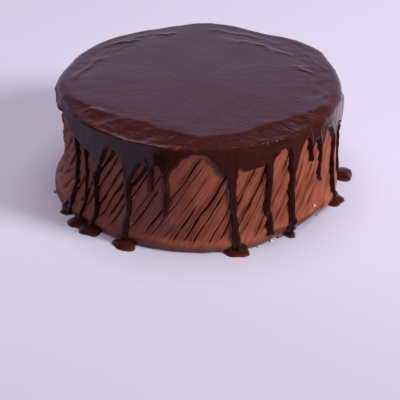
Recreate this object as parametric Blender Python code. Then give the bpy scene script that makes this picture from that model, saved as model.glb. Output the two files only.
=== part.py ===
"""Round chocolate layer cake: buttercream marked with a knife, under a poured ganache glaze.

Metres, +Z up. The origin is on the surface that the cake stands on, on the cake's own axis.
An azimuth is counted from the front, which faces -Y, and grows towards the cake's right, +X.
"""
import math
import random

import bmesh
import bpy
from mathutils import Vector

MM = 0.001

# Buttercream: the smooth body before the knife marks it
SIDE_RADIUS = 108.0 * MM         # at the shoulder
SIDE_SPREAD = 3.6 * MM           # the side widens by this much on its way down
TOP_LEAN = 1.4 * MM              # the top has slid this far towards the front
SHOULDER = (                     # the shoulder stands out unevenly: azimuth in degrees, millimetres
    (-180, 7.8), (-170, 3.4), (-160, 0.7), (-150, 1.2), (-140, 1.8), (-117, 1.6), (-104, 0.7),
    (-92, 1.1), (-80, 0.8), (-68, 0.0), (97, 0.1), (107, 1.2), (120, 5.2), (131, 5.0), (148, -1.0),
    (153, -0.6), (170, 7.0), (176, 8.6), (180, 7.8),
)
FROSTING_TOP = 88.5 * MM
EDGE_RADIUS = 6.0 * MM           # rounded top edge
FOOT_TUCK = 2.6 * MM             # the foot draws in where the buttercream meets the surface
FOOT_TUCK_HEIGHT = 8.0 * MM
FLARE_DEPTH = 7.8 * MM           # buttercream pushed outwards at the foot on the left
FLARE_HEIGHT = 25.0 * MM
FLARE_AZIMUTH = math.radians(-100.0)
FLARE_HALF_ANGLE = math.radians(75.0)
FLARE_UNTUCKED = (math.radians(-150.0), math.radians(-52.0))   # its foot doesn't draw in
SCRAPE_DEPTH = 3.4 * MM          # on the right the foot is scraped back flat, below a crisp edge
SCRAPE_HEIGHT = 11.0 * MM
SCRAPE_AZIMUTHS = (math.radians(24.0), math.radians(68.0))

# Knife strokes drawn up the side. Those that show: azimuth at mid height in degrees, lower end,
# upper end and depth in millimetres
STROKES_FRONT = (
    (-81.0, 28, 64, 0.8), (-74.2, 36, 60, 1.3), (-64.5, 36, 58, 1.1), (-58.0, 12, 40, 0.7),
    (-52.0, 16, 47, 1.8), (-46.0, 18, 78, 2.2), (-42.0, 18, 71, 2.0), (-37.0, 22, 64, 2.0),
    (-33.1, 15, 55, 1.9), (-29.4, 18, 72, 1.9), (-26.2, 12, 66, 1.4), (-20.5, 26, 66, 0.8),
    (-17.9, 17, 50, 1.9), (-11.4, 15, 79, 2.1), (-8.4, 13, 74, 1.1), (-3.6, 12, 66, 0.9),
    (-0.3, 4, 39, 1.4), (3.4, 10, 68, 2.3), (6.9, 9, 57, 2.1), (12.0, 7, 40, 1.2),
    (15.0, 12, 67, 1.4), (19.8, 23, 70, 2.2), (23.5, 16, 57, 1.5), (29.0, 8, 76, 1.4),
    (31.4, 14, 66, 1.8), (36.0, 16, 46, 1.9), (39.2, 16, 72, 1.5), (43.5, 28, 57, 1.2),
    (48.2, 19, 62, 1.7), (51.9, 20, 48, 1.3),
)
STROKE_SLOPES = (                # azimuth and slope in degrees
    (-75.0, 46.0), (-64.0, 50.0), (-42.0, 57.5), (-8.0, 58.0), (20.0, 66.0), (32.0, 66.0),
    (55.0, 60.0), (90.0, 58.0), (240.0, 58.0), (285.0, 46.0),
)
STROKE_MIDDLE = 45.0 * MM
STROKES_BACK = (56.0, 274.0)     # degrees that the seeded strokes fill
STROKE_SPACING = (3.6, 5.8)
STROKE_DEPTH = (0.9 * MM, 2.0 * MM)
STROKE_FOOT = (7.0 * MM, 16.0 * MM)   # strokes run out into a smooth band above the foot
STROKE_SHOULDER = (60.0 * MM, 84.0 * MM)
STROKE_SECTION = ((0.0, 1.0), (0.1, 0.5), (0.5, 0.2), (0.9, 0.0))  # across a ribbon, depth

# Glaze
GLAZE_GAP = 0.33 * MM
GLAZE_TOP = 91.0 * MM
RIM_WIDTH = 5.0 * MM             # the rim rounds over this much inwards and downwards
RIM_HEIGHT = 5.0 * MM
RIM_SOFT = 4.0 * MM              # and over this much more where the shoulder has slumped
RIM_SOFT_AZIMUTHS = (math.radians(-55.0), math.radians(66.0))
RIM_SOFT_HALF_ANGLE = math.radians(34.0)
GLAZE_SIDE = 1.6 * MM            # thickness on the side
GLAZE_BEAD = 1.9 * MM            # thickness of the rounded lower border
GLAZE_COLUMNS = 138
RIM_UNEVEN = 0.25 * MM
INNER_RADIUS = 90.0 * MM         # inside the cake, where the clearance cuts the glaze away
CLEARANCE_COLUMNS = 96
CLEARANCE_FOOT = -5.0 * MM       # it passes right through the puddles

# Lower border of the glaze where it shows: azimuth in degrees, height in millimetres
BORDER_FRONT = (
    (-102, 80), (-96, 84), (-89, 79), (-85.5, 82), (-81, 71), (-76, 78), (-71, 80), (-64, 76),
    (-58, 69.5), (-50, 66), (-43.2, 56.5), (-36.7, 77.3), (-34, 75), (-31.9, 71), (-28.6, 53.5),
    (-21.8, 72), (-19, 67), (-16.4, 70.5), (-13, 64), (-9.5, 71), (-6.2, 78.8), (-2, 83), (1.7, 82),
    (5, 76.5), (8.4, 66.7), (12.1, 57.5), (15, 71.4), (17.5, 67), (22.5, 68), (24.8, 70), (27, 64),
    (29.6, 73), (31.8, 77.5), (34.3, 78.8), (38.2, 61), (45, 79.6), (47.9, 68), (51, 74), (53.7, 65),
    (59.3, 77), (66.2, 63), (71.5, 71), (79.5, 64.5), (88, 77),
)
BORDER_BACK = (80.0 * MM, 62.0 * MM)  # arches and lobes on the side that faces away

# Drips where they show: path in degrees and millimetres from top to end, width at each point
DRIPS_FRONT = (
    (((-57.8, 70), (-57.9, 50), (-59.8, 36), (-60.9, 22), (-61.5, 2.5)), (4.0, 3.2, 3.4, 3.8, 5.5)),
    (((-50.9, 66), (-51, 46), (-51.6, 34), (-52.2, 20), (-54.4, 2.5)), (3.2, 3.0, 3.0, 3.4, 5.0)),
    (((-42.9, 58), (-45, 47), (-45, 37), (-44.8, 19), (-47, 2.5)), (6.0, 8.8, 4.2, 5.6, 6.5)),
    (((-28.9, 56), (-28.7, 42), (-28.5, 29), (-30.1, 17), (-30.3, 2.5)), (5.8, 4.6, 4.4, 5.2, 6.5)),
    (((-19, 68), (-19, 60), (-19.1, 49.4)), (4.6, 3.8, 4.4)),
    (((-13, 66), (-12.8, 55), (-13, 44), (-13.3, 29.8)), (6.0, 5.4, 5.4, 4.8)),
    (((12.1, 59), (12.4, 48), (12.6, 37), (13.4, 22), (14.1, 2.5)), (8.0, 5.4, 4.6, 5.0, 6.5)),
    (((27, 66), (27.2, 50), (26, 32.5), (27.6, 24), (28.2, 8.7)), (5.0, 4.4, 5.6, 4.6, 6.0)),
    (((38.2, 63), (37.9, 52), (37.3, 45), (37.9, 30), (39, 3)), (8.0, 4.8, 5.6, 4.8, 6.2)),
    (((47.6, 70), (47.9, 62), (47.9, 57.4)), (5.6, 5.2, 5.2)),
    (((53.7, 68), (54, 58), (53.7, 50), (53.2, 43), (54.2, 35.6)), (4.6, 3.6, 3.2, 4.0, 4.6)),
    (((66, 66), (67.2, 52), (67, 38), (68, 28), (70.5, 2.5)), (4.8, 3.6, 3.8, 3.4, 5.0)),
    (((79.5, 66), (84, 60), (89, 50), (90, 25), (91, 2.5)), (6.0, 4.8, 4.4, 4.6, 6.0)),
)

# Puddles at the foot: azimuth in degrees, radius of the centre, half sizes along and across, height
PUDDLES_FRONT = (
    (-64.0, 113.5, 7.0, 7.5, 3.2), (-54.2, 115.0, 8.5, 8.5, 3.6), (-46.6, 114.5, 9.0, 8.2, 3.6),
    (-29.6, 113.0, 9.8, 8.4, 3.6), (14.2, 111.0, 9.6, 8.0, 3.4), (38.5, 109.0, 4.2, 4.2, 2.6),
    (71.5, 111.0, 8.6, 8.4, 4.3), (93.0, 116.0, 10.5, 11.0, 4.4),
)

BACK_AZIMUTHS = (102.0, 252.0)   # degrees that the seeded drips fill
BACK_SPACING = (9.0, 15.0)
BACK_REACHES = (2.5 * MM, 2.5 * MM, 2.5 * MM, 16.0 * MM, 30.0 * MM, 42.0 * MM)
BACK_PUDDLE_HEIGHT = 3.2 * MM
PUDDLE_REACH = 125.0 * MM        # the puddles at the back end within this radius
ARCH_UNEVEN = 3.0 * MM
DRIP_PROUD = 2.3 * MM
DRIP_SIDES = 8
DRIP_RINGS = 6
DRIP_HEAD = 4.0 * MM             # the head of a drip lies in the glaze above it and rises from it
DRIP_CLEAR = 0.8 * MM            # the end of a drip stays inside its puddle
DRIP_RUNS_OUT = 5.0 * MM         # a drip that reaches this low spreads into a puddle
PUDDLE_SIDES = 12

BUTTERCREAM_COLOUR = (0.155, 0.050, 0.030)
GANACHE_COLOUR = (0.035, 0.010, 0.007)


def smooth(value):
    """0 to 1 with soft ends."""
    value = min(1.0, max(0.0, value))
    return value * value * (3.0 - 2.0 * value)


def front_to_back(azimuth):
    """The same azimuth counted both ways from the front, up to half a turn."""
    return (azimuth + math.pi) % math.tau - math.pi


def bell(azimuth, centre, half_angle):
    """1 at an azimuth, falling to 0 at half_angle from it."""
    return smooth(1.0 - abs(front_to_back(azimuth - centre)) / half_angle)


def between(points, at):
    """Soft curve through (place, value) points."""
    for (before, low), (after, high) in zip(points, points[1:]):
        if before <= at <= after:
            return low + (high - low) * smooth((at - before) / (after - before))
    return points[0][1] if at < points[0][0] else points[-1][1]


def stretch(azimuth, ends, soft):
    """1 between two azimuths, falling to 0 at both ends over a soft angle."""
    azimuth = front_to_back(azimuth)
    return smooth((azimuth - ends[0]) / soft) * smooth((ends[1] - azimuth) / soft)


def around(azimuth, radius, z):
    """The point at an azimuth, a distance from the axis and a height."""
    return Vector((radius * math.sin(azimuth), -radius * math.cos(azimuth), z))


def uneven_radius(azimuth, z):
    """What a hand-made cake adds to a true cylinder: a lean, an uneven shoulder and slow waves."""
    up = smooth(z / FROSTING_TOP)
    shoulder = MM * between(SHOULDER, math.degrees(front_to_back(azimuth)))
    waves = 0.4 * MM * math.sin(2.0 * azimuth + 0.6) + 0.3 * MM * math.sin(5.0 * azimuth + 2.0)
    return waves + up * (TOP_LEAN * math.cos(azimuth) + shoulder)


def side_radius(azimuth, z):
    """The side of the buttercream before the knife marks it."""
    down = min(1.0, max(0.0, 1.0 - z / FROSTING_TOP))
    tuck = FOOT_TUCK * max(0.0, 1.0 - z / FOOT_TUCK_HEIGHT) ** 2
    tuck *= 1.0 - stretch(azimuth, FLARE_UNTUCKED, 0.25)
    low = math.sin(0.5 * math.pi * max(0.0, 1.0 - z / FLARE_HEIGHT))
    flare = FLARE_DEPTH * low * bell(azimuth, FLARE_AZIMUTH, FLARE_HALF_ANGLE)
    return SIDE_RADIUS + SIDE_SPREAD * down + uneven_radius(azimuth, z) + flare - tuck


def scraped(azimuth, z):
    """How far the foot is cut back on the right."""
    return SCRAPE_DEPTH * stretch(azimuth, SCRAPE_AZIMUTHS, 0.2) * max(0.0, 1.0 - z / SCRAPE_HEIGHT)


def body_radius(azimuth, z):
    """The outermost surface of the buttercream, with its rounded top edge."""
    corner = FROSTING_TOP - EDGE_RADIUS
    radius = side_radius(azimuth, min(z, corner)) - scraped(azimuth, z)
    if z > corner:
        rise = min(1.0, (z - corner) / EDGE_RADIUS)
        radius -= EDGE_RADIUS * (1.0 - math.sqrt(1.0 - rise * rise))
    return radius


def turned(levels, steps, place):
    """A closed tube spun about Z, whose points are then moved to place(level, step)."""
    mesh = bmesh.new()
    profile = [mesh.verts.new((0.0, -1.0, level)) for level in range(levels)]
    line = [mesh.edges.new(ends) for ends in zip(profile, profile[1:])]
    bmesh.ops.spin(mesh, geom=profile + line, cent=(0.0, 0.0, 0.0), axis=(0.0, 0.0, 1.0),
                   angle=math.tau, steps=steps, use_merge=True)
    bmesh.ops.holes_fill(mesh, edges=[edge for edge in mesh.edges if edge.is_boundary], sides=0)
    bmesh.ops.recalc_face_normals(mesh, faces=mesh.faces)
    for vert in mesh.verts:
        turn = math.atan2(vert.co.x, -vert.co.y) % math.tau
        vert.co = place(round(vert.co.z), round(steps * turn / math.tau) % steps)
    return mesh


def add_object(name, mesh, material, collection=None):
    """An object from a bmesh, with its normals outwards."""
    if mesh.calc_volume(signed=True) < 0.0:
        bmesh.ops.reverse_faces(mesh, faces=mesh.faces)
    data = bpy.data.meshes.new(name)
    mesh.to_mesh(data)
    mesh.free()
    data.materials.append(material)
    obj = bpy.data.objects.new(name, data)
    (collection or bpy.context.scene.collection).objects.link(obj)
    return obj


def make_material(name, colour, roughness):
    """A plain food surface."""
    material = bpy.data.materials.new(name)
    material.use_nodes = True
    shader = material.node_tree.nodes["Principled BSDF"]
    shader.inputs["Base Color"].default_value = (*colour, 1.0)
    shader.inputs["Roughness"].default_value = roughness
    shader.inputs["Metallic"].default_value = 0.0
    return material


def strokes_around(draw):
    """Every stroke: azimuth at mid height, lower end, upper end and depth."""
    strokes = [(math.radians(azimuth), low * MM, high * MM, depth * MM)
               for azimuth, low, high, depth in STROKES_FRONT]
    azimuth, last = STROKES_BACK
    while azimuth < last:
        low, high = draw.uniform(*STROKE_FOOT), draw.uniform(*STROKE_SHOULDER)
        strokes.append((math.radians(azimuth), low, high, draw.uniform(*STROKE_DEPTH)))
        azimuth += draw.uniform(*STROKE_SPACING)
    return strokes


def stroke_columns(strokes):
    """Azimuth at mid height, depth and ends of each line of points that follows a stroke."""
    columns = []
    following = strokes[1:] + [(strokes[0][0] + math.tau,)]
    for (start, low, high, depth), (end, *_) in zip(strokes, following):
        for across, share in STROKE_SECTION:
            columns.append((start + (end - start) * across, depth * share, low, high))
    return columns


def stroke_line(start, z):
    """Azimuth at a height of a line that leans as the strokes there do."""
    slope = math.radians(between(STROKE_SLOPES, math.degrees(start)))
    return start + (z - STROKE_MIDDLE) / math.tan(slope) / SIDE_RADIUS


def stroke_depth(z, depth, low, high):
    """Depth of a stroke at a height: it runs out softly at both ends."""
    return depth * smooth((z - low + 4.0 * MM) / (8.0 * MM)) * smooth((high + 4.0 * MM - z) / (8.0 * MM))


def make_cake(material):
    """Buttercream body: a turned solid whose lines of points lean with the knife strokes."""
    columns = stroke_columns(strokes_around(random.Random(11)))
    corner = FROSTING_TOP - EDGE_RADIUS
    heights = [0.0, 4.0 * MM, SCRAPE_HEIGHT]
    heights += [z * MM for z in (17.0, 25.0, 48.0, 68.0)]
    heights += [corner, corner + 0.65 * EDGE_RADIUS, FROSTING_TOP]

    def place(level, step):
        z = heights[level]
        start, depth, low, high = columns[step]
        azimuth = stroke_line(start, z)
        radius = body_radius(azimuth, z) - stroke_depth(z, depth, low, high)
        return around(azimuth, radius, z)

    return add_object("cake", turned(len(heights), len(columns), place), material)


def front_drips():
    """The drips that show, in radians and metres."""
    drips = []
    for path, widths in DRIPS_FRONT:
        path = [(math.radians(azimuth), z * MM) for azimuth, z in path]
        drips.append((path, [width * MM for width in widths]))
    return drips


def back_drips(draw):
    """Seeded drips for the side that faces away, of the same kind as those in front."""
    drips = []
    azimuth, last = BACK_AZIMUTHS
    while azimuth < last:
        width = draw.uniform(3.8, 5.6) * MM
        low = draw.choice(BACK_REACHES)
        wander = math.radians(draw.uniform(-1.6, 1.6))
        start = math.radians(azimuth)
        path = [(start, BORDER_BACK[1] + 3.0 * MM), (start + wander, 0.5 * (BORDER_BACK[1] + low)),
                (start + 0.5 * wander, low)]
        drips.append((path, [width + 2.0 * MM, width, width + 1.0 * MM]))
        azimuth += draw.uniform(*BACK_SPACING)
    return drips


def border_points(drips):
    """Lower border of the glaze all round: arches between the lobes that feed the drips."""
    high, low = BORDER_BACK
    points = [(math.radians(azimuth), z * MM) for azimuth, z in BORDER_FRONT]
    tips = [path[0][0] for path, _ in drips]
    for tip, following in zip(tips, tips[1:] + [points[0][0] + math.tau]):
        points.append((tip, low))
        points.append((0.5 * (tip + following), high - ARCH_UNEVEN * (1.0 + math.sin(40.0 * tip))))
    points[-1] = (points[0][0] + math.tau, points[0][1])
    return points


def cap_section(azimuth, low):
    """Radius and height of the glaze from its flat top over the rim to its lower border."""
    rim_low = GLAZE_TOP - RIM_HEIGHT
    low = min(low, rim_low - 1.5 * MM)
    waves = 1.0 + math.sin(9.0 * azimuth) + 0.7 * math.sin(17.0 * azimuth + 1.0)
    rim = body_radius(azimuth, rim_low - 4.0 * MM) + GLAZE_SIDE - RIM_UNEVEN * waves
    soft = max(bell(azimuth, place, RIM_SOFT_HALF_ANGLE) for place in RIM_SOFT_AZIMUTHS)
    width = RIM_WIDTH + RIM_SOFT * soft
    section = [(rim - width * inwards, GLAZE_TOP - RIM_HEIGHT * down)
               for inwards, down in ((1.0, 0.0), (0.48, 0.12), (0.15, 0.45), (0.0, 1.0))]
    for share, thick in ((0.4, GLAZE_SIDE), (0.75, GLAZE_SIDE), (0.94, GLAZE_BEAD)):
        z = rim_low + (low - rim_low) * share
        section.append((body_radius(azimuth, z) + thick, z))
    section.append((body_radius(azimuth, low) - 2.0 * GLAZE_GAP, low))
    section.append((INNER_RADIUS, BORDER_BACK[1]))
    return section


def make_cap(border, material):
    """Glaze over the top and shoulder. Its inside is cut away later."""
    azimuths = [border[0][0] + math.tau * step / GLAZE_COLUMNS for step in range(GLAZE_COLUMNS)]
    sections = [cap_section(azimuth, between(border, azimuth)) for azimuth in azimuths]

    def place(level, step):
        return around(azimuths[step], *sections[step][level])

    return add_object("glaze", turned(len(sections[0]), GLAZE_COLUMNS, place), material)


def make_drip(path, widths, material, collection):
    """One run of glaze down the side, with its head in the glaze above and a rounded end."""
    centres = sorted((z, azimuth) for azimuth, z in path)
    spans = sorted((z, width) for (_, z), width in zip(path, widths))
    top, bottom = spans[-1][0], spans[0][0]
    shares = [step / (DRIP_RINGS - 1) for step in range(DRIP_RINGS)]
    levels = [(top + DRIP_HEAD, 1.0, 0.4), (top, 1.0, 0.75)]
    levels += [(top + (bottom - top) * share, 1.0, 1.0) for share in shares[1:]]
    levels.append((max(DRIP_CLEAR, bottom - 0.4 * widths[-1]), 0.5, 0.6))

    def place(level, step):
        z, narrow, proud = levels[level]
        turn = math.tau * step / DRIP_SIDES
        across = 0.5 * narrow * between(spans, z) * math.sin(turn)
        azimuth = between(centres, z) + across / SIDE_RADIUS
        radius = body_radius(azimuth, z) + DRIP_PROUD * proud * math.cos(turn)
        return around(azimuth, radius, z)

    add_object("drip", turned(len(levels), DRIP_SIDES, place), material, collection)


def make_puddle(azimuth, radius, along, across, height, material, collection):
    """Glaze that has run out on the surface: a low mound with a lobed outline, flat underneath."""
    levels = ((1.0, 0.0), (0.93, 0.45), (0.66, 0.85), (0.28, 1.0))

    def place(level, step):
        share, rise = levels[level]
        turn = math.tau * step / PUDDLE_SIDES
        lobe = share * (1.0 + 0.07 * math.sin(3.0 * turn + 50.0 * azimuth))
        sideways = azimuth + along * lobe * math.sin(turn) / radius
        return around(sideways, radius + across * lobe * math.cos(turn), rise * height)

    add_object("puddle", turned(len(levels), PUDDLE_SIDES, place), material, collection)


def make_clearance(material, collection):
    """The smooth buttercream body grown by the gap, which cuts the inside of the glaze."""
    corner = FROSTING_TOP - EDGE_RADIUS
    heights = [0.0, 2.5 * MM, 4.0 * MM, SCRAPE_HEIGHT]
    heights += [z * MM for z in (17.0, 25.0, 48.0, 68.0)]
    heights += [corner + EDGE_RADIUS * share for share in (0.0, 0.65, 1.0)]

    def place(level, step):
        azimuth = math.tau * step / CLEARANCE_COLUMNS
        z = heights[level]
        raised = CLEARANCE_FOOT if level == 0 else z + GLAZE_GAP * (z > corner)
        return around(azimuth, body_radius(azimuth, z) + GLAZE_GAP, raised)

    add_object("clearance", turned(len(heights), CLEARANCE_COLUMNS, place), material, collection)


def apply_boolean(obj, operation, collection):
    """Runs one Boolean against a collection and keeps its result."""
    cut = obj.modifiers.new(operation.lower(), "BOOLEAN")
    cut.operation = operation
    cut.operand_type = "COLLECTION"
    cut.collection = collection
    cut.solver = "MANIFOLD"  # the exact solver loses the thin cap and keeps one scrap of it
    result = obj.evaluated_get(bpy.context.evaluated_depsgraph_get())
    obj.data = bpy.data.meshes.new_from_object(result)
    obj.modifiers.clear()
    for used in list(collection.objects):
        bpy.data.objects.remove(used)


def keep_largest_body(obj):
    """Drops loose scraps that a cut leaves."""
    mesh = bmesh.new()
    mesh.from_mesh(obj.data)
    bodies = []
    seen = set()
    for start in mesh.verts:
        if start in seen:
            continue
        body, waiting = set(), [start]
        while waiting:
            vert = waiting.pop()
            if vert not in body:
                body.add(vert)
                waiting.extend(edge.other_vert(vert) for edge in vert.link_edges)
        seen |= body
        bodies.append(body)
    largest = max(bodies, key=len)
    bmesh.ops.delete(mesh, geom=[vert for vert in mesh.verts if vert not in largest], context="VERTS")
    mesh.to_mesh(obj.data)
    mesh.free()


def make_glaze(material):
    """One solid of glaze: cap, drips and puddles run together, hollow where the cake is."""
    extras = bpy.data.collections.new("run_down")
    cutters = bpy.data.collections.new("cutters")
    hidden = back_drips(random.Random(5))
    glaze = make_cap(border_points(hidden), material)
    for path, widths in front_drips() + hidden:
        make_drip(path, widths, material, extras)
    for azimuth, radius, along, across, height in PUDDLES_FRONT:
        make_puddle(math.radians(azimuth), radius * MM, along * MM, across * MM, height * MM,
                    material, extras)
    for path, widths in hidden:
        if path[-1][1] < DRIP_RUNS_OUT:
            spread = 1.5 * widths[-1]
            radius = min(body_radius(path[-1][0], 0.0) + 0.4 * spread, PUDDLE_REACH - spread)
            make_puddle(path[-1][0], radius, spread, spread, BACK_PUDDLE_HEIGHT, material, extras)
    apply_boolean(glaze, "UNION", extras)
    make_clearance(material, cutters)
    apply_boolean(glaze, "DIFFERENCE", cutters)
    keep_largest_body(glaze)
    for used in (extras, cutters):
        bpy.data.collections.remove(used)
    return glaze


def main():
    for obj in list(bpy.data.objects):
        bpy.data.objects.remove(obj, do_unlink=True)
    make_cake(make_material("buttercream", BUTTERCREAM_COLOUR, 0.55))
    make_glaze(make_material("ganache", GANACHE_COLOUR, 0.2))
    for obj in bpy.context.scene.objects:
        obj.data.shade_smooth()
        obj.data.set_sharp_from_angle(angle=math.radians(40.0))


main()
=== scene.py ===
import math
import random

import bmesh
import bpy
import numpy as np
from mathutils import Euler, Matrix, Vector


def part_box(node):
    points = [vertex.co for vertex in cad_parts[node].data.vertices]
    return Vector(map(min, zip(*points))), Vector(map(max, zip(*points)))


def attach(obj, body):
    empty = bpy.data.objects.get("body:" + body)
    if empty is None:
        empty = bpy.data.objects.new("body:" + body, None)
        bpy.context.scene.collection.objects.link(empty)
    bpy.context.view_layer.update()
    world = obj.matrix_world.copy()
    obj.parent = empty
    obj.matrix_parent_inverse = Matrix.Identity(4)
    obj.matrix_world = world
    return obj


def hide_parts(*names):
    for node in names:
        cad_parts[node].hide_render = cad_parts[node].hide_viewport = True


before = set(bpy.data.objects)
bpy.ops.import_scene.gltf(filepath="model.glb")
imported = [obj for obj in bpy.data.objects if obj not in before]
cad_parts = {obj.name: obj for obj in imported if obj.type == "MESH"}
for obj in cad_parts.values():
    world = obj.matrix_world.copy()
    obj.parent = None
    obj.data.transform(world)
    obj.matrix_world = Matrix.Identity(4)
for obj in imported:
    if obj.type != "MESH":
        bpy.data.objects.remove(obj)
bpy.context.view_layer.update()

# Buttercream body. A stacked sponge, masked all over with milk chocolate buttercream and left
# uncut. The side was spread smooth, then marked with the tip of a palette knife drawn up and to
# the right, so it is broad leaning ribbons with a narrow dark gash under each raised edge.
MM = 0.001
BUTTERCREAM_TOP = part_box("cake")[1].z
SIDE_RADIUS = 108.0 * MM
SIDE_SPREAD = 3.6 * MM           # the side widens by this much on its way down
SIDE_WAVES = ((0.4, 2.0, 0.6), (0.3, 5.0, 2.0))    # height in millimetres, number, start
TOP_LEAN = 1.4 * MM              # the top has slid this far forward
SHOULDER = (                     # the shoulder stands out unevenly: azimuth in degrees, millimetres
    (-180, 7.8), (-170, 3.4), (-160, 0.7), (-150, 1.2), (-140, 1.8), (-117, 1.6), (-104, 0.7),
    (-92, 1.1), (-80, 0.8), (-68, 0.0), (97, 0.1), (107, 1.2), (120, 5.2), (131, 5.0), (148, -1.0),
    (153, -0.6), (170, 7.0), (176, 8.6), (180, 7.8),
)
SWELLS = (                       # azimuth, height, half angle, half height and depth of soft swellings
    (87.0, 71.0, 11.0, 12.0, 2.0), (-85.0, 78.0, 9.0, 8.0, 1.6), (-58.0, 30.0, 14.0, 18.0, -0.8),
)
EDGE_RADIUS = 6.0 * MM
FOOT_TUCK = 2.6 * MM
FOOT_TUCK_HEIGHT = 8.0 * MM
FLARE_DEPTH = 7.8 * MM           # buttercream pushed outwards at the foot on the left
FLARE_HEIGHT = 25.0 * MM
FLARE_AZIMUTH = math.radians(-100.0)
FLARE_HALF_ANGLE = math.radians(75.0)
FLARE_UNTUCKED = np.radians((-150.0, -52.0))   # its foot doesn't draw in
SCRAPE_DEPTH = 3.4 * MM          # on the right the foot is scraped back flat, below a crisp edge
SCRAPE_HEIGHT = 11.0 * MM
SCRAPE_AZIMUTHS = np.radians((24.0, 68.0))

# Strokes that show: azimuth at mid height in degrees, lower end, upper end, depth in millimetres
STROKES_FRONT = (
    (-81.0, 28, 64, 0.8), (-74.2, 36, 60, 1.3), (-64.5, 36, 58, 1.1), (-58.0, 12, 40, 0.7),
    (-52.0, 16, 47, 1.8), (-46.0, 18, 78, 2.2), (-42.0, 18, 71, 2.0), (-37.0, 22, 64, 2.0),
    (-33.1, 15, 55, 1.9), (-29.4, 18, 72, 1.9), (-26.2, 12, 66, 1.4), (-20.5, 26, 66, 0.8),
    (-17.9, 17, 50, 1.9), (-11.4, 15, 79, 2.1), (-8.4, 13, 74, 1.1), (-3.6, 12, 66, 0.9),
    (-0.3, 4, 39, 1.4), (3.4, 10, 68, 2.3), (6.9, 9, 57, 2.1), (12.0, 7, 40, 1.2),
    (15.0, 12, 67, 1.4), (19.8, 23, 70, 2.2), (23.5, 16, 57, 1.5), (29.0, 8, 76, 1.4),
    (31.4, 14, 66, 1.8), (36.0, 16, 46, 1.9), (39.2, 16, 72, 1.5), (43.5, 28, 57, 1.5),
    (46.0, 30, 68, 1.4), (48.6, 19, 62, 1.9), (51.2, 34, 72, 1.4), (53.6, 18, 52, 1.6),
)
STROKE_SLOPES = (                # azimuth and slope in degrees
    (-75.0, 46.0), (-64.0, 50.0), (-42.0, 57.5), (-8.0, 58.0), (20.0, 66.0), (32.0, 66.0),
    (55.0, 60.0), (90.0, 58.0), (240.0, 58.0), (285.0, 46.0),
)
STROKE_MIDDLE = 45.0 * MM
# The seeded strokes behind: azimuths and spacing in degrees, depth, lower and upper ends
STROKES_BACK = (56.0, 274.0)
STROKE_SPACING = (3.6, 5.8)
STROKE_DEPTH = (0.9 * MM, 2.0 * MM)
STROKE_FOOT = (7.0 * MM, 16.0 * MM)
STROKE_SHOULDER = (60.0 * MM, 84.0 * MM)
GASH_WIDTH = 1.45 * MM           # of a stroke as deep as FULL_DEPTH
FULL_DEPTH = 2.0 * MM
GASH_SHARE = 1.7                 # the knife's tip goes this much deeper than the broad stroke
RIBBON_SINK = 0.72               # a ribbon starts this share of a stroke's depth below its edge
LIP_SHARE = 0.42                 # and ends in a lip that stands this share of the next above it
LIP = (0.85 * MM, 0.65 * MM)     # the lip's crest left of the next gash, and its half width
WALL = 0.2 * MM                  # the wall of a gash is this thick
LIFT = 0.8 * MM                  # the lips reach the smooth side, so the rest lies below it
SCRAPE_STEP = 1.4 * MM           # the crisp edge above the scraped foot overhangs by this much
SCRAPE_LIP = (0.45 * MM, 12.2 * MM, 1.1 * MM)    # above it, a lip: depth, height, half width
EDGE_SAG = 2.2 * MM              # under the glaze the top edge has sunk by this much
SOFT_FOLDS = np.radians((59.0, 108.0))   # here the knife left folds, not gashes
CREASE = (3.1 * MM, 0.45 * MM, 0.5 * MM)   # a second line right of each gash: place, width, depth
TORN = (                         # gashes torn wide: azimuth, lower end, upper end, width in millimetres
    (-46.0, 55, 79, 2.4), (-29.4, 47, 73, 2.0), (-11.4, 60, 76, 0.8), (3.4, 34, 60, 0.5),
    (19.8, 30, 66, 0.7),
)
RIGHT_STROKES = np.radians((8.0, 64.0))    # pressed harder here, by this share
RIGHT_PRESS = 0.45
OPEN_STROKES = np.radians((34.0, 66.0))    # and wider here, by this share
RIGHT_OPENING = 0.5
FADE = 7.0 * MM                  # a stroke fades in and out over this height
# Layers of fine relief: height, width across the strokes, length along them (mm), noise seed
DRAG, WAVES = (0.3, 1.7, 24.0, 1.0), (0.6, 7.0, 12.0, 2.0)
GRIT, UNEVEN_FOOT = (0.12, 0.9, 1.6, 21.0), (0.5, 6.0, 1000.0, 8.0)
DRIFT, FOLDS = (3.0, 8.0, 7.0, 6.0), (1.5, 5.0, 26.0, 12.0)
BROAD_FOLD, NARROW_FOLD = (0.75, 3.4, 30.0, 15.0), (0.25, 1.7, 18.0, 35.0)
PIT_SIZE, PIT_DEPTH = (3.4, 5.0), 1.9 * MM
PITTED = (math.radians(-72.0), math.radians(34.0))    # centre and half angle of the pitted flank
RIPPLE_DEPTH = 1.9 * MM
AFTER_GASH = np.array([0.0, 0.25, 0.5, 0.75, 1.0, 1.25, 1.5, 1.8, 2.2, 2.7, 3.1, 3.5]) * MM
BEFORE_GASH = np.array([0.1, 0.25, 0.45, 0.7, 1.0, 1.4, 2.0]) * MM
RIBBON_STEP = 1.15 * MM


def soft(value):
    """0 to 1 with soft ends."""
    value = np.clip(value, 0.0, 1.0)
    return value * value * (3.0 - 2.0 * value)


def front_to_back(azimuth):
    """The same azimuth counted both ways from the front, up to half a turn."""
    return (azimuth + math.pi) % math.tau - math.pi


def bell(azimuth, centre, half_angle):
    """1 at an azimuth, falling to 0 at half_angle from it."""
    return soft(1.0 - np.abs(front_to_back(azimuth - centre)) / half_angle)


def stretch(azimuth, ends, width):
    """1 between two azimuths, falling to 0 at both ends over a soft angle."""
    azimuth = front_to_back(azimuth)
    return soft((azimuth - ends[0]) / width) * soft((ends[1] - azimuth) / width)


def above(z, start, run):
    """0 up to a start, rising softly to 1 over a run; both in millimetres."""
    return soft((z / MM - start) / run)


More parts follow.
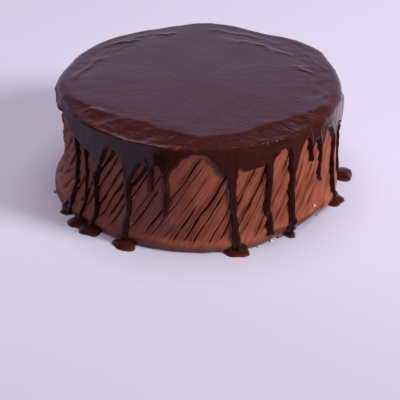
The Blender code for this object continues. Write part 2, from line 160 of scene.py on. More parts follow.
def below(z, end, run):
    """1 down from an end less a run, falling softly to 0 at the end; both in millimetres."""
    return soft((end - z / MM) / run)


def ridge(value, middle, width):
    """1 at a middle, falling off on both sides within about a width."""
    return np.exp(-((value - middle) / width) ** 2)


def through(points, at):
    """Soft curve through (place, value) points."""
    places = np.array([place for place, _ in points], float)
    values = np.array([value for _, value in points], float)
    found = np.clip(np.searchsorted(places, at, side="right") - 1, 0, len(places) - 2)
    share = soft((at - places[found]) / (places[found + 1] - places[found]))
    return values[found] + (values[found + 1] - values[found]) * share


def uneven(x, y, seed):
    """Smooth random relief from 0 to 1, with one bump for each unit of x and y."""
    across, along = np.floor(x), np.floor(y)

    def corner(right, up):
        mixed = np.sin((across + right) * 127.1 + (along + up) * 311.7 + seed * 74.7) * 43758.5453
        return mixed - np.floor(mixed)

    share_x, share_y = soft(x - across), soft(y - along)
    low = corner(0, 0) + (corner(1, 0) - corner(0, 0)) * share_x
    high = corner(0, 1) + (corner(1, 1) - corner(0, 1)) * share_x
    return low + (high - low) * share_y


def bumps(layer, across, along):
    """A layer of relief: height, width and length in millimetres, seed and perhaps its shift."""
    height, wide, long, seed, *shift = layer
    right, up = shift or (0.0, 0.0)
    return height * MM * uneven(across / (wide * MM) + right, along / (long * MM) + up, seed)


def swellings(spots, azimuth, z):
    """Soft swellings: azimuth in degrees, height, half angle, half height and depth of each."""
    return sum(depth * MM * bell(azimuth, math.radians(centre), math.radians(half))
               * soft(1.0 - np.abs(z / MM - height) / half_height)
               for centre, height, half, half_height, depth in spots)


def side_radius(azimuth, z):
    """The smooth side of the buttercream, before the knife marks it."""
    up = soft(z / BUTTERCREAM_TOP)
    shoulder = MM * through(SHOULDER, np.degrees(front_to_back(azimuth)))
    waves = sum(high * MM * np.sin(number * azimuth + start) for high, number, start in SIDE_WAVES)
    spread = SIDE_SPREAD * np.clip(1.0 - z / BUTTERCREAM_TOP, 0.0, 1.0)
    low = np.sin(0.5 * math.pi * np.clip(1.0 - z / FLARE_HEIGHT, 0.0, 1.0))
    flare = FLARE_DEPTH * low * bell(azimuth, FLARE_AZIMUTH, FLARE_HALF_ANGLE)
    tuck = FOOT_TUCK * np.clip(1.0 - z / FOOT_TUCK_HEIGHT, 0.0, 1.0) ** 2
    tuck = tuck * (1.0 - stretch(azimuth, FLARE_UNTUCKED, 0.25))
    leaning = up * (TOP_LEAN * np.cos(azimuth) + shoulder)
    return SIDE_RADIUS + spread + waves + leaning + flare - tuck + swellings(SWELLS, azimuth, z)


def scraped(azimuth, z):
    """How far the foot is cut back on the right."""
    run = stretch(azimuth, SCRAPE_AZIMUTHS, 0.2)
    return SCRAPE_DEPTH * run * np.clip(1.0 - z / SCRAPE_HEIGHT, 0.0, 1.0)


def body_radius(azimuth, z):
    """The outermost surface of the buttercream, with its rounded top edge and drawn-in foot."""
    corner = BUTTERCREAM_TOP - EDGE_RADIUS
    rise = np.clip((z - corner) / EDGE_RADIUS, 0.0, 1.0)
    radius = side_radius(azimuth, np.minimum(z, corner)) - scraped(azimuth, z)
    return radius - EDGE_RADIUS * (1.0 - np.sqrt(1.0 - rise * rise))


def strokes_around(draw):
    """Every stroke: azimuth at mid height, lower end, upper end and depth."""
    strokes = [(math.radians(azimuth), low * MM, high * MM, depth * MM)
               for azimuth, low, high, depth in STROKES_FRONT]
    azimuth, last = STROKES_BACK
    while azimuth < last:
        low, high = draw.uniform(*STROKE_FOOT), draw.uniform(*STROKE_SHOULDER)
        strokes.append((math.radians(azimuth), low, high, draw.uniform(*STROKE_DEPTH)))
        azimuth += draw.uniform(*STROKE_SPACING)
    return strokes


def stroke_line(start, z):
    """Azimuth at a height of a line that leans as the strokes there do, a little unsteadily."""
    slope = np.radians(through(STROKE_SLOPES, np.degrees(start)))
    hand = 0.004 * np.sin(z / (9.0 * MM) + 23.0 * start) + 0.003 * np.sin(z / (4.3 * MM) + 61.0 * start)
    return start + (z - STROKE_MIDDLE) / np.tan(slope) / SIDE_RADIUS + hand


def woven(rows, columns, place):
    """A grid whose points are moved to place(row, column), its last column on its first."""
    mesh = bmesh.new()
    bmesh.ops.create_grid(mesh, x_segments=columns, y_segments=rows - 1, size=1.0)
    mesh.verts.ensure_lookup_table()
    row, column = np.divmod(np.arange(rows * (columns + 1)), columns + 1)
    column = column % columns
    for vert, where in zip(mesh.verts, place(row, column).tolist()):
        vert.co = where
    return mesh, row, column


def link_mesh(name, mesh, material):
    """Turns a bmesh into an object in the scene."""
    data = bpy.data.meshes.new(name)
    mesh.to_mesh(data)
    mesh.free()
    data.materials.append(material)
    data.shade_smooth()
    made = bpy.data.objects.new(name, data)
    bpy.context.scene.collection.objects.link(made)
    return made


def round_the_axis(azimuth, radius, z):
    """Points at azimuths, distances from the axis and heights, as rows of x, y, z."""
    return np.stack((radius * np.sin(azimuth), -radius * np.cos(azimuth), z), axis=-1)


strokes = np.array(strokes_around(random.Random(11)))
following = np.roll(strokes, -1, axis=0)
following[-1, 0] += math.tau
ribbon_width = (following[:, 0] - strokes[:, 0]) * SIDE_RADIUS


def ribbon_lines():
    """The ribbon that each line of points is on, and how far it is from the gash on its left."""
    owner, offset = [], []
    for number, width in enumerate(ribbon_width):
        squeeze = min(1.0, width / (AFTER_GASH[-1] + BEFORE_GASH[-1] + 0.6 * MM))
        first, last = AFTER_GASH[-1] * squeeze, width - BEFORE_GASH[-1] * squeeze
        middle = np.linspace(first, last, max(2, round((last - first) / RIBBON_STEP) + 1))
        places = [*(AFTER_GASH[:-1] * squeeze), *middle, *(width - BEFORE_GASH[-2::-1] * squeeze)]
        owner += [number] * len(places)
        offset += places
    return np.array(owner), np.array(offset)


ribbon, from_gash = ribbon_lines()
line_start = strokes[ribbon, 0] + from_gash / SIDE_RADIUS
corner_height = BUTTERCREAM_TOP - EDGE_RADIUS
heights = np.concatenate((
    np.array([0.0, 0.7, 1.6, 2.8, 4.2, 5.6, 7.0, 8.4, 9.6, 10.4, 10.8]) * MM, [SCRAPE_HEIGHT],
    np.linspace(SCRAPE_HEIGHT + 0.4 * MM, corner_height, 43),
    corner_height + EDGE_RADIUS * np.sin(np.radians([20.0, 42.0, 66.0, 90.0])),
))


def stroke_strength(which, z):
    """How deep each stroke runs at a height: it fades at both ends and the hand presses unevenly."""
    low, high, depth = which[..., 1], which[..., 2], which[..., 3]
    fade = soft((z - low + 4.0 * MM) / FADE) * soft((high + 3.0 * MM - z) / FADE)
    press = 0.55 + 0.65 * uneven(z / (6.0 * MM), which[..., 0] * 40.0, 3.0)
    harder = 1.0 + RIGHT_PRESS * stretch(which[..., 0], RIGHT_STROKES, 0.1)
    return depth * fade * np.minimum(press, 1.0) * harder


def folded(column):
    """1 where the knife left soft folds instead of gashes."""
    return stretch(line_start[column], SOFT_FOLDS, 0.16)


def knife_relief(column, z):
    """How far the surface lies below the smooth side, and how much painted shade darkens it in the gashes,
    pits, folds, under the scraped edge and round the foot.
    """
    here, after = strokes[ribbon[column]], following[ribbon[column]]
    width, right = ribbon_width[ribbon[column]], from_gash[column]
    left = width - right
    deep, next_deep = stroke_strength(here, z), stroke_strength(after, z)
    across = line_start[column] * SIDE_RADIUS
    side = folded(column)
    opening = GASH_WIDTH * (0.45 + 1.1 * uneven(z / (8.0 * MM), here[:, 0] * 50.0, 9.0))
    opening = opening * (deep / FULL_DEPTH) * (1.0 - 0.7 * side)
    opening = opening * (1.0 + RIGHT_OPENING * stretch(here[:, 0], OPEN_STROKES, 0.1))
    for azimuth, low, high, width_torn in TORN:
        this_one = np.abs(here[:, 0] - math.radians(azimuth)) < 0.001
        opening = opening + width_torn * MM * this_one * above(z, low, 5.0) * below(z, high, 5.0)
    slot = soft((opening - right) / (0.35 * MM) + 0.5) * (1.0 - 0.6 * side)
    sunk = RIBBON_SINK * (1.0 - soft(right / (0.62 * width)))
    wall = soft(1.0 - left / WALL) * (1.0 - side)
    lip = LIP_SHARE * ridge(left, *LIP)
    cut = deep * (GASH_SHARE * slot + (1.0 - slot) * sunk)
    cut = cut + next_deep * (wall - (1.0 - wall) * lip)
    *crease_place, crease = CREASE
    fresh = uneven(z / (14.0 * MM), here[:, 0] * 30.0, 31.0)
    cut = cut + crease * ridge(right, *crease_place) * fresh
    band = above(z, 7.0, 6.0) * below(z, corner_height / MM, 6.0)
    pitted = bell(line_start[column], *PITTED)
    drift = bumps(DRIFT, across, z)
    pits = uneven((across + drift) / (PIT_SIZE[0] * MM), (z - drift) / (PIT_SIZE[1] * MM), 5.0)
    pits = pitted * soft((pits - 0.6) / 0.2)
    fold = (bumps(BROAD_FOLD, across, z) + bumps(NARROW_FOLD, across, z)) / MM
    fine = bumps(DRAG, across, z) + bumps(WAVES, across, z) + pitted * bumps(FOLDS, across, z)
    fine = fine + PIT_DEPTH * pits + RIPPLE_DEPTH * side * fold
    foot = bumps(UNEVEN_FOOT, across, 0.0 * z) * below(z, 9.0, 9.0)
    scrape = stretch(line_start[column] - 0.12, SCRAPE_AZIMUTHS, 0.12)
    under_edge = below(z, SCRAPE_HEIGHT / MM, 0.5)
    lip_depth, *lip_place = SCRAPE_LIP
    edge = SCRAPE_STEP * under_edge - lip_depth * ridge(z, *lip_place)
    foot = foot + bumps(GRIT, across, z) + scrape * edge
    # Painted shade: the colour is darkened deep in the gashes, in the band under the scraped edge, round
    # the foot and in the pits and folds.
    painted_shade = np.max((
        band * np.clip(slot * deep / (0.5 * FULL_DEPTH), 0.0, 1.0), 0.6 * scrape * under_edge,
        0.3 * below(z, 7.0, 7.0), band * (0.3 * pits + 0.4 * side * soft((fold - 0.55) / 0.3)),
    ), axis=0)
    return band * (cut + fine + LIFT) + foot, painted_shade


def buttercream_place(row, column):
    """Bottom centre, bottom edge, up the marked side, over the edge and in to the top centre."""
    level = np.clip(row - 1, 0, len(heights) - 1)
    z = heights[level]
    azimuth = stroke_line(line_start[column], z)
    radius = body_radius(azimuth, z) - knife_relief(column, z)[0]
    middle = (row == 0) | (row == len(heights) + 1)
    edge = np.where(row > len(heights), 0.0, EDGE_SAG * soft((z - corner_height) / EDGE_RADIUS))
    return round_the_axis(azimuth, np.where(middle, 0.0, radius), z - edge)


def linear(hex_colour):
    """An sRGB hex colour as linear red, green, blue and alpha."""
    parts = [int(hex_colour[start:start + 2], 16) / 255.0 for start in (1, 3, 5)]
    return [part / 12.92 if part <= 0.04045 else ((part + 0.055) / 1.055) ** 2.4
            for part in parts] + [1.0]


def wire(material, node, **sockets):
    """Gives sockets a value or the output or node that feeds them, by name or as i and a number."""
    for key, value in sockets.items():
        socket = node.inputs[int(key[1:]) if key[1:].isdigit() else key.replace("_", " ")]
        if isinstance(value, bpy.types.Node):
            value = next(output for output in value.outputs if output.enabled)
        if isinstance(value, bpy.types.NodeSocket):
            material.node_tree.links.new(value, socket)
        else:
            socket.default_value = value


def add_node(material, kind, settings=None, **sockets):
    """A node with its settings, wired up."""
    made = material.node_tree.nodes.new("ShaderNode" + kind)
    for key, value in (settings or {}).items():
        setattr(made, key, value)
    wire(material, made, **sockets)
    return made


def new_material(name):
    """A material with its shader and nothing else, and that shader."""
    material = bpy.data.materials.new(name)
    material.use_nodes = True
    return material, material.node_tree.nodes["Principled BSDF"]


# Milk chocolate buttercream, spread and set: butter fat makes it satin, not dull, and the knife
# leaves streaks along each stroke that show as a fine grain. It is glossier where it was smeared.
STREAKS = (1.1, 0.06, 1.0)       # streaks for each millimetre across and along a stroke
buttercream, shader = new_material("milk_chocolate_buttercream_spread")
spot = add_node(buttercream, "TexCoord").outputs["Object"]
stroke_place = add_node(buttercream, "Attribute", {"attribute_name": "stroke_place"}).outputs["Vector"]
streaks = add_node(buttercream, "TexNoise", Scale=1.0, Detail=3.0, Roughness=0.6,
                   Vector=add_node(buttercream, "Mapping", Scale=STREAKS, Vector=stroke_place))
clouds = add_node(buttercream, "TexNoise", Scale=1.0 / (22.0 * MM), Detail=4.0, Roughness=0.55,
                  Vector=spot)
grain = add_node(buttercream, "TexNoise", Scale=1.0 / (1.1 * MM), Detail=3.0, Roughness=0.6, Vector=spot)
blend = add_node(buttercream, "Mix", {"data_type": "RGBA"}, i6=linear("#834331"), i7=linear("#904C38"),
                 i0=add_node(buttercream, "MapRange", i0=clouds, i1=0.35, i2=0.65))
streak_tint = add_node(buttercream, "ValToRGB", i0=streaks)
ramp = streak_tint.color_ramp.elements
ramp[0].position, ramp[0].color = 0.32, (0.5, 0.48, 0.46, 1.0)
ramp[1].position, ramp[1].color = 0.58, (1.0, 1.0, 1.0, 1.0)
streaked = add_node(buttercream, "Mix", {"data_type": "RGBA", "blend_type": "MULTIPLY"},
                    i0=0.8, i6=blend, i7=streak_tint)
# Painted shade: the colour is mixed towards near black in the gashes, pits and folds, under the scraped
# edge and round the foot.
painted_shade_amount = add_node(buttercream, "Attribute", {"attribute_name": "painted_shade"}).outputs["Fac"]
shaded = add_node(buttercream, "Mix", {"data_type": "RGBA"}, i0=painted_shade_amount, i6=streaked,
                  i7=linear("#1E0D09"))
raised = add_node(buttercream, "Math", {"operation": "MULTIPLY_ADD"}, i0=grain, i1=0.3, i2=streaks)
bump = add_node(buttercream, "Bump", Strength=0.8, Distance=0.4 * MM, Height=raised)
smeared = add_node(buttercream, "Attribute", {"attribute_name": "smeared"}).outputs["Fac"]
sheen = add_node(buttercream, "MapRange", i0=smeared, i3=0.44, i4=0.24)
wire(buttercream, shader, Base_Color=shaded, Normal=bump, Roughness=sheen, IOR=1.46,
     Specular_IOR_Level=0.5)

mesh, row, column = woven(len(heights) + 2, len(line_start), buttercream_place)
place_layer = mesh.verts.layers.float_vector.new("stroke_place")
# Each point keeps its painted shade for the material.
painted_shade_layer, smear_layer = [mesh.verts.layers.float.new(name) for name in ("painted_shade", "smeared")]
height_here = heights[np.clip(row - 1, 0, len(heights) - 1)]
looks = np.stack((line_start[column] * SIDE_RADIUS / MM, height_here / MM,
                  knife_relief(column, height_here)[1], folded(column)), axis=-1)
for vert, (across, along, painted_shade, smear) in zip(mesh.verts, looks.tolist()):
    vert[place_layer] = (across, along, 0.0)
    vert[painted_shade_layer], vert[smear_layer] = painted_shade, smear
bmesh.ops.remove_doubles(mesh, verts=mesh.verts, dist=1e-6)
bmesh.ops.recalc_face_normals(mesh, faces=mesh.faces)
body = link_mesh("buttercream_body", mesh, buttercream)
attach(body, "root")
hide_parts("cake")


# Ganache glaze. Dark chocolate and cream, poured warm over the top and pushed to the edge, where
# it ran down in lobes and drips and set in puddles round the foot. One skin with a thick rounded
# border, smooth and glossy, wrinkled near the rim where it cooled first.
GLAZE_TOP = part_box("glaze")[1].z
RIM_WIDTH = 5.0 * MM
RIM_HEIGHT = 5.0 * MM
RIM_SOFT = 4.0 * MM              # the rim is this much wider where the shoulder has slumped
RIM_SOFT_AZIMUTHS = np.radians((-55.0, 66.0))
RIM_SOFT_HALF_ANGLE = math.radians(34.0)
RIM_UNEVEN = 0.25 * MM
GLAZE_SIDE = 1.6 * MM
GLAZE_BEAD = 0.35 * MM           # the lower border is thicker by this much
SETTLE = 9.0 * MM                # below the rim the glaze comes in to the side over this height
BORDER_ROUND = 2.1 * MM          # the border and the sides of a drip round over within this
GLAZE_SINK = 2.6 * MM            # the skin reaches this far into the strokes under it
BORDER_FRONT = (
    (-102, 80), (-96, 84), (-89, 79), (-85.5, 82), (-81, 71), (-76, 78), (-71, 80), (-64, 76),
    (-58, 69.5), (-50, 66), (-43.2, 56.5), (-36.7, 77.3), (-34, 75), (-31.9, 71), (-28.6, 53.5),
    (-21.8, 72), (-19, 67), (-16.4, 70.5), (-13, 64), (-9.5, 71), (-6.2, 78.8), (-2, 83), (1.7, 82),
    (5, 76.5), (8.4, 66.7), (12.1, 57.5), (15, 71.4), (17.5, 67), (22.5, 68), (24.8, 70), (27, 64),
    (29.6, 73), (31.8, 77.5), (34.3, 78.8), (38.2, 61), (45, 79.6), (47.9, 68), (51, 74), (53.7, 65),
    (59.3, 77), (66.2, 63), (71.5, 71), (79.5, 64.5), (88, 77),
)
BORDER_BACK = (80.0 * MM, 62.0 * MM)
DRIPS_FRONT = (
    (((-57.8, 70), (-57.9, 50), (-59.8, 36), (-60.9, 22), (-61.5, 2.5)), (4.0, 3.2, 3.4, 3.8, 5.5)),
    (((-50.9, 66), (-51, 46), (-51.6, 34), (-52.2, 20), (-54.4, 2.5)), (3.2, 3.0, 3.0, 3.4, 5.0)),
    (((-42.9, 58), (-45, 47), (-45, 37), (-44.8, 19), (-47, 2.5)), (6.0, 8.8, 4.2, 5.6, 6.5)),
    (((-28.9, 56), (-28.7, 42), (-28.5, 29), (-30.1, 17), (-30.3, 2.5)), (5.8, 4.6, 4.4, 5.2, 6.5)),
    (((-19, 68), (-19, 60), (-19.1, 49.4)), (4.6, 3.8, 4.4)),
    (((-13, 66), (-12.8, 55), (-13, 44), (-13.3, 29.8)), (6.0, 5.4, 5.4, 4.8)),
    (((12.1, 59), (12.4, 48), (12.6, 37), (13.4, 22), (14.1, 2.5)), (8.0, 5.4, 4.6, 5.0, 6.5)),
    (((27, 66), (27.2, 50), (26, 32.5), (27.6, 24), (28.2, 8.7)), (5.0, 4.4, 5.6, 4.6, 6.0)),
    (((38.2, 63), (37.9, 52), (37.3, 45), (37.9, 30), (39, 3)), (8.0, 4.8, 5.6, 4.8, 6.2)),
    (((47.6, 70), (47.9, 62), (47.9, 57.4)), (5.6, 5.2, 5.2)),
    (((53.7, 68), (54, 58), (53.7, 50), (53.2, 43), (54.2, 35.6)), (4.6, 3.6, 3.2, 4.0, 4.6)),
    (((66, 66), (67.2, 52), (67, 38), (68, 28), (70.5, 2.5)), (4.8, 3.6, 3.8, 3.4, 5.0)),
    (((79.5, 66), (84, 60), (89, 50), (90, 25), (91, 2.5)), (6.0, 4.8, 4.4, 4.6, 6.0)),
)
# Azimuth in degrees, radius of the centre, half sizes along and across, height in millimetres
PUDDLES_FRONT = (
    (-64.0, 113.5, 7.0, 7.5, 3.2), (-54.2, 115.0, 8.5, 8.5, 3.6), (-46.6, 114.5, 9.0, 8.2, 3.6),
    (-29.6, 113.0, 9.8, 8.4, 3.6), (14.2, 111.0, 9.6, 8.0, 3.4), (38.5, 109.0, 4.2, 4.2, 2.6),
    (71.5, 111.0, 8.6, 8.4, 4.3), (93.0, 116.0, 10.5, 11.0, 4.4),
)
# The seeded drips behind: azimuths and spacing in degrees, widths in millimetres, wander, lower ends
BACK_AZIMUTHS = (102.0, 252.0)
BACK_SPACING = (9.0, 15.0)
BACK_WIDTHS, BACK_WANDER = (3.8, 5.6), 1.6
BACK_REACHES = (2.5 * MM, 2.5 * MM, 2.5 * MM, 16.0 * MM, 30.0 * MM, 42.0 * MM)
BACK_PUDDLE_HEIGHT = 3.2 * MM
PUDDLE_REACH = 124.3 * MM        # the puddles at the back end within this radius
ARCH_UNEVEN = 3.0 * MM
DRIP_RUNS_OUT = 5.0 * MM         # a drip that ends below this height runs into a puddle
FILLET = 1.2 * MM                # a drip turns on to the surface below over this radius
DRIP_SLIM = 0.84                 # the glaze drew together as it set, to this share of its width
SIDE_SLIM = 0.58                 # and to less on the left and right, beyond SIDE_FROM
SIDE_FROM = math.radians(40.0)
DRIP_THINNEST = 0.76             # the least share of its width that a drip narrows to on its way
DRIP_VARIES = 0.56               # and the share of its width that it can gain on that
DRIP_KNOT = 4.6 * MM             # over this height
DRIP_JOIN = 1.3 * MM             # the fillet between a drip and the border
LINING_DEPTH = 2.8 * MM          # the underside of the top is this far below the buttercream's top
BEADS = (                        # thick and thin spots, as the swellings above
    (-88.0, 82.5, 7.0, 6.0, 1.9), (-81.5, 72.5, 5.0, 4.5, -0.3), (84.0, 79.5, 6.0, 5.0, 1.5),
    (-45.0, 47.0, 3.0, 7.0, 1.2), (-28.7, 46.0, 2.6, 6.0, 0.8), (-28.6, 34.0, 3.0, 6.0, -0.4),
    (12.6, 43.0, 2.4, 6.0, -0.5), (13.0, 34.0, 2.0, 6.0, 0.6), (26.0, 33.0, 2.4, 5.0, 0.9),
    (28.0, 11.5, 2.8, 4.0, 1.9), (37.3, 45.0, 2.4, 5.0, 0.6), (38.8, 14.0, 2.8, 4.6, 1.9),
    (14.2, 6.5, 3.4, 3.8, 1.9), (-30.2, 8.0, 2.8, 4.2, 1.4), (-46.0, 8.0, 2.6, 4.2, 1.0),
    (30.0, 77.2, 2.2, 3.0, 1.4), (22.3, 70.4, 2.2, 3.0, 1.4),
    (47.9, 59.5, 3.0, 4.0, 0.6), (54.0, 38.0, 3.0, 5.0, 0.4), (-57.5, 56.0, 5.0, 12.0, -0.7),
    (-60.0, 30.0, 6.0, 18.0, -0.6), (-51.3, 45.0, 4.0, 18.0, -0.8), (-52.6, 20.0, 4.0, 12.0, -0.5),
    (67.4, 46.0, 4.5, 18.0, -0.8), (68.5, 24.0, 4.5, 16.0, -0.7), (66.6, 38.0, 2.5, 4.0, 0.6),
    (180.0, 80.0, 40.0, 40.0, -0.8),
)
# Where the shoulder has slumped: azimuth in degrees, radius in millimetres from which the top falls
SLUMP_FROM = (
    (-180, 112), (-95, 112), (-75, 100), (-62, 96), (-44, 88), (-28, 84), (-14, 89), (0, 96),
    (14, 95), (32, 91), (42, 92), (52, 97), (66, 106), (80, 112), (180, 112),
)
SLUMP_SLOPE = 0.15
SLUMP_SOFT = 2.6 * MM            # the slope sets in over this distance
# Layers of relief, with a shift of the noise after its seed, on the top and where it has slumped
TOP_WAVES = (
    (0.3, 34.0, 34.0, 4.0, 9.0, 9.0), (0.16, 11.0, 11.0, 6.0, 9.0, 9.0), (0.12, 16.0, 5.0, 61.0, 9.0, 30.0),
)
CRUMPLE = ((0.34, 2.6, 2.2, 51.0, 40.0, 40.0), (0.24, 7.5, 5.0, 52.0, 40.0, 40.0))
CREASED = ((45.0, 178.0, 1.0, 0.5), (-178.0, -80.0, 0.6, 0.5), (-66.0, -14.0, 0.7, 0.3))
# Layers of uneven thickness on the side: broad runs, lines where it flowed, small and drip lumps
RUNS, SMALL_LUMPS, DRIP_LUMPS = (0.5, 7.0, 22.0, 7.0), (0.15, 3.4, 3.0, 28.0), (1.3, 12.0, 5.5, 71.0)
FLOW_LINES, FLOW_PATCHES = (0.5, 3.6, 11.0, 27.0), (0.8, 11.0, 9.0, 29.0)
FLOWED = np.radians((42.0, 110.0))
# Where the rim has painted glints in specks, and a lobe that is darker and glossier: azimuth and half angle
GLINT_SPECKS_PLACE, DARK_LOBE = np.radians((-8.0, 85.0)), np.radians((-16.5, 7.0))
GLINT_SPECKS, GLINT_SPECKS_PALE = (1.0, 2.0, 1.5, 41.0), 0.65
FLOOR_REACH = 15.0 * MM          # the puddles' rows run this far out
LINING_FLAT = 100.0 * MM         # the underside of the top is one flat face out to this radius
# Wrinkles near the rim: azimuth of both ends in degrees, radius at both ends, width, height (mm)
WRINKLES = (
    (-157, -167, 93.0, 90.5, 2.0, 0.5), (-135, -145, 96.5, 91.0, 2.0, 0.45),
    (-87, -118, 97.8, 86.2, 2.2, 0.4), (166, 148, 76.5, 79.5, 2.0, 0.4),
    (147, 117, 79.5, 84.0, 2.0, 0.45), (107, 95, 77.7, 87.0, 1.7, 0.7),
    (-58, -51, 96.6, 91.4, 2.2, 0.5), (-50, -34, 106.0, 101.7, 2.4, 0.35),
    (60, 76, 101.0, 97.0, 2.0, 0.4), (-125, -150, 99.0, 96.0, 1.8, 0.35),
    (176, 150, 96.0, 93.0, 2.2, 0.35), (120, 96, 97.0, 98.0, 2.0, 0.35),
)


def all_drips(draw):
    """The drips that show and the seeded ones behind: paths and widths in radians and metres."""
    drips = []
    for path, widths in DRIPS_FRONT:
        path = [(math.radians(azimuth), z * MM) for azimuth, z in path]
        drips.append((path, [width * MM for width in widths]))
    azimuth, last = BACK_AZIMUTHS
    while azimuth < last:
        width = draw.uniform(*BACK_WIDTHS) * MM
        low = draw.choice(BACK_REACHES)
        wander = math.radians(draw.uniform(-BACK_WANDER, BACK_WANDER))
        start = math.radians(azimuth)
        path = [(start, BORDER_BACK[1] + 3.0 * MM), (start + wander, 0.5 * (BORDER_BACK[1] + low)),
                (start + 0.5 * wander, low)]
        drips.append((path, [width + 2.0 * MM, width, width + 1.0 * MM]))
        azimuth += draw.uniform(*BACK_SPACING)
    return drips


drips = all_drips(random.Random(5))
hidden = drips[len(DRIPS_FRONT):]


def border_points():
    """Lower border of the glaze all round: arches between the lobes that feed the drips."""
    high, low = BORDER_BACK
    points = [(math.radians(azimuth), z * MM) for azimuth, z in BORDER_FRONT]
    tips = [path[0][0] for path, _ in hidden]
    for tip, after in zip(tips, tips[1:] + [points[0][0] + math.tau]):
        points.append((tip, low))
        points.append((0.5 * (tip + after), high - ARCH_UNEVEN * (1.0 + math.sin(40.0 * tip))))
    points[-1] = (points[0][0] + math.tau, points[0][1])
    return points


def puddles_around():
    """Azimuth, centre radius, half along, half across and height of every puddle."""
    puddles = [(math.radians(azimuth), radius * MM, along * MM, across * MM, height * MM)
               for azimuth, radius, along, across, height in PUDDLES_FRONT]
    for path, widths in hidden:
        azimuth, reach = path[-1]
        if reach < DRIP_RUNS_OUT:
            spread = 1.5 * widths[-1]
            radius = min(body_radius(azimuth, 0.0) + 0.4 * spread, PUDDLE_REACH - spread)
            puddles.append((azimuth, radius, spread, spread, BACK_PUDDLE_HEIGHT))
    return puddles


border = border_points()
puddles = puddles_around()
NEAR_DRIP = np.array([0.0, 0.4, 0.8, 1.2, 1.6, 2.0, 2.4, 2.9, 3.5, 4.2]) * MM
ARCH_STEP = 1.5 * MM


def glaze_columns():
    """Lines of points that follow the drips: the drip on each side, share of the way between."""
    left, right, part = [], [], []
    for number, (path, _) in enumerate(drips):
        after = drips[(number + 1) % len(drips)][0]
        gap = (after[0][0] - path[0][0]) % math.tau * SIDE_RADIUS
        near = [offset for offset in NEAR_DRIP if offset < 0.5 * gap]
        steps = max(2, round((gap - 2 * near[-1]) / ARCH_STEP) + 1)
        places = [*near[:-1], *np.linspace(near[-1], gap - near[-1], steps),
                  *(gap - offset for offset in reversed(near[1:-1]))]
        left += [number] * len(places)
        right += [(number + 1) % len(drips)] * len(places)
        part += [place / gap for place in places]
    return np.array(left), np.array(right), np.array(part)


def drip_azimuth(number, y):
    """Azimuth of a drip's centre at a height."""
    path = sorted((z, azimuth) for azimuth, z in drips[number][0])
    return through(path, np.clip(y, path[0][0], path[-1][0]))


left_drip, right_drip, part = glaze_columns()
rim_low = GLAZE_TOP - RIM_HEIGHT
inner_rings = np.concatenate(([0.0, 20.0, 38.0, 50.0, 58.0, 64.0, 69.0],
                              np.arange(73.0, 98.5, 1.25))) * MM
rim_turns = np.radians(np.linspace(90.0, 0.0, 10)[1:])
side_heights = np.concatenate((np.arange(rim_low - 1.1 * MM, 52.0 * MM, -1.1 * MM),
                               np.arange(52.0 * MM, FILLET, -1.6 * MM)))
fillet_turns = np.radians(np.linspace(0.0, 90.0, 4))
floor_steps = np.arange(1.1 * MM, FLOOR_REACH, 1.1 * MM)
rows = {"top": inner_rings, "rim": rim_turns, "side": side_heights, "fillet": fillet_turns,
        "floor": floor_steps}
row_parts = np.repeat(list(rows), [len(values) for values in rows.values()])
row_values = np.concatenate(list(rows.values()))
# y is the height on the side and runs on below zero over the surface that the cake stands on
row_y = np.concatenate((np.full(len(inner_rings), GLAZE_TOP), rim_low + RIM_HEIGHT * np.sin(rim_turns),
                        side_heights, FILLET * (np.cos(fillet_turns) - np.sin(fillet_turns)),
                        -FILLET - floor_steps))


def column_azimuths(y):
    """Azimuth of every line of points at a height."""
    centres = np.array([drip_azimuth(number, y) for number in range(len(drips))])
    start, end = centres[left_drip], centres[right_drip]
    return start + part * (np.where(end < start, end + math.tau, end) - start)


def film_edge(azimuth, y):
    """Distance inside the edge of the glaze on the side, in metres; below zero outside it."""
    place = (azimuth - border[0][0]) % math.tau + border[0][0]
    step = 0.5 * MM / SIDE_RADIUS
    edge = through(border, place)
    slope = (through(border, place + step) - through(border, place - step)) / (1.0 * MM)
    inside = (y - edge) / np.sqrt(1.0 + slope * slope)
    for number, (path, widths) in enumerate(drips):
        spans = sorted((z, 0.5 * width) for (_, z), width in zip(path, widths))
        bottom, end_half = spans[0]
        slim = SIDE_SLIM if abs(front_to_back(path[0][0])) > SIDE_FROM else DRIP_SLIM
        half = slim * through(spans, np.clip(y, bottom, spans[-1][0]))
        half = half * (DRIP_THINNEST + DRIP_VARIES * uneven(y / DRIP_KNOT, 7.0 * number, 73.0))
        apart = front_to_back(azimuth - drip_azimuth(number, y)) * SIDE_RADIUS
        runs_out = bottom < DRIP_RUNS_OUT
        past_end = 0.0 if runs_out else np.maximum(0.0, bottom + slim * end_half - y)
        past_start = np.maximum(0.0, y - path[0][1] - 5.0 * MM)
        run = half - np.hypot(apart, np.hypot(past_end, past_start))
        run = run - 3.0 * np.maximum(0.0, -y) if runs_out else run
        inside = join(inside, run, DRIP_JOIN)
    return inside


def join(first, second, reach):
    """The larger of two, with a fillet between them."""
    mix = np.clip(0.5 + 0.5 * (second - first) / reach, 0.0, 1.0)
    return first + (second - first) * mix + reach * mix * (1.0 - mix)


def rounded(inside, reach):
    """Rounded rise from an edge, from 0 to 1 over a reach."""
    return np.sqrt(1.0 - (1.0 - np.clip(inside / reach, 0.0, 1.0)) ** 2)


def foot_radius(azimuth):
    """Radius of the side where it turns on to the surface below."""
    height = np.full(azimuth.shape, FILLET)
    return side_radius(azimuth, height) - scraped(azimuth, height)


